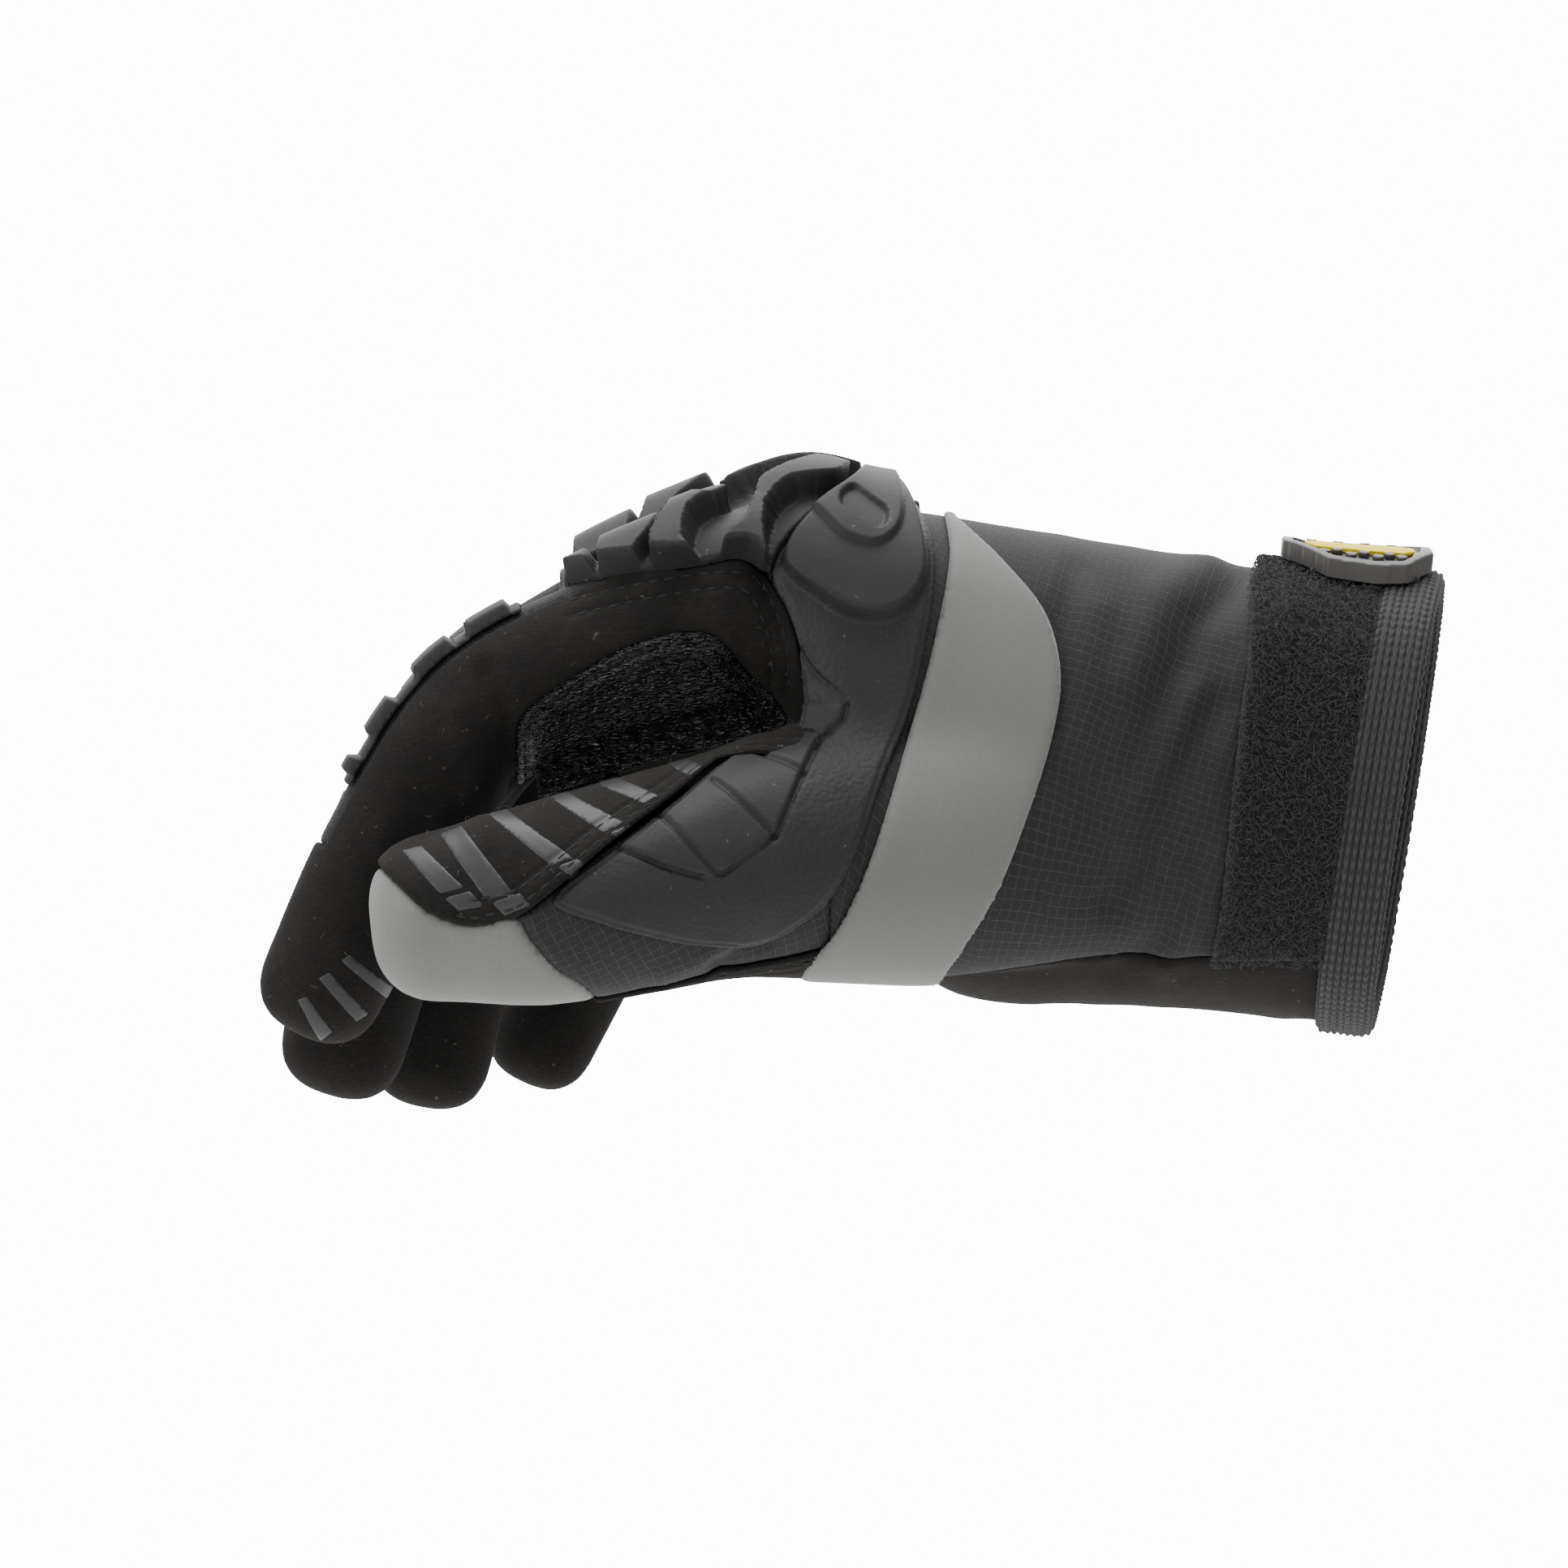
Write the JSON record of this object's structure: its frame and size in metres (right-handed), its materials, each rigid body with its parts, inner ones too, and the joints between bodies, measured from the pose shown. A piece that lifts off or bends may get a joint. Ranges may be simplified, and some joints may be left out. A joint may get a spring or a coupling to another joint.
{
  "type": "mechanic glove",
  "caption": "Right-hand mechanic glove in suede and ripstop with moulded rubber guards over the knuckles, fingers and thumb side, and a wrist strap with a pull tab.",
  "frame": {"origin": "centre of the cuff opening, where the wrist comes out", "axes": "+X runs up the forearm, away from the fingers; +Z points to the back of the hand; -Y points to the thumb side"},
  "size_m": [0.1961, 0.1158, 0.1081],
  "materials": {
    "suede": "napped synthetic suede, matt",
    "grain": "grained synthetic leather, semi-matt",
    "ripstop": "ripstop weave with a lighter grid, matt",
    "grey_cloth": "smooth grey stretch fabric, matt",
    "guard_rubber": "moulded rubber with a fine leather grain, matt",
    "loop": "fuzzy loop pile, matt",
    "binding": "ribbed knitted elastic, matt",
    "webbing": "woven strap, matt",
    "tab_rubber": "moulded rubber, satin",
    "tab_colour": "bright moulded rubber, satin"
  },
  "bodies": {
    "root": {"palm_leather": "suede", "back_fabric": "ripstop", "index_leather": "suede", "middle_leather": "suede", "ring_leather": "suede", "little_leather": "suede", "thumb_leather": "suede", "thumb_tip_panel": "grey_cloth", "thumb_back_fabric": "ripstop", "crotch_patch": "grain", "grey_band": "grey_cloth", "thumb_guard": "guard_rubber", "knuckle_guard": "guard_rubber", "index_guard": "guard_rubber", "middle_guard": "guard_rubber", "ring_guard": "guard_rubber", "little_guard": "guard_rubber", "loop_field": "loop", "closure_strap": "webbing", "pull_tab": "tab_rubber", "tab_inlay": "tab_colour", "cuff_binding": "binding"}
  },
  "joints": []
}
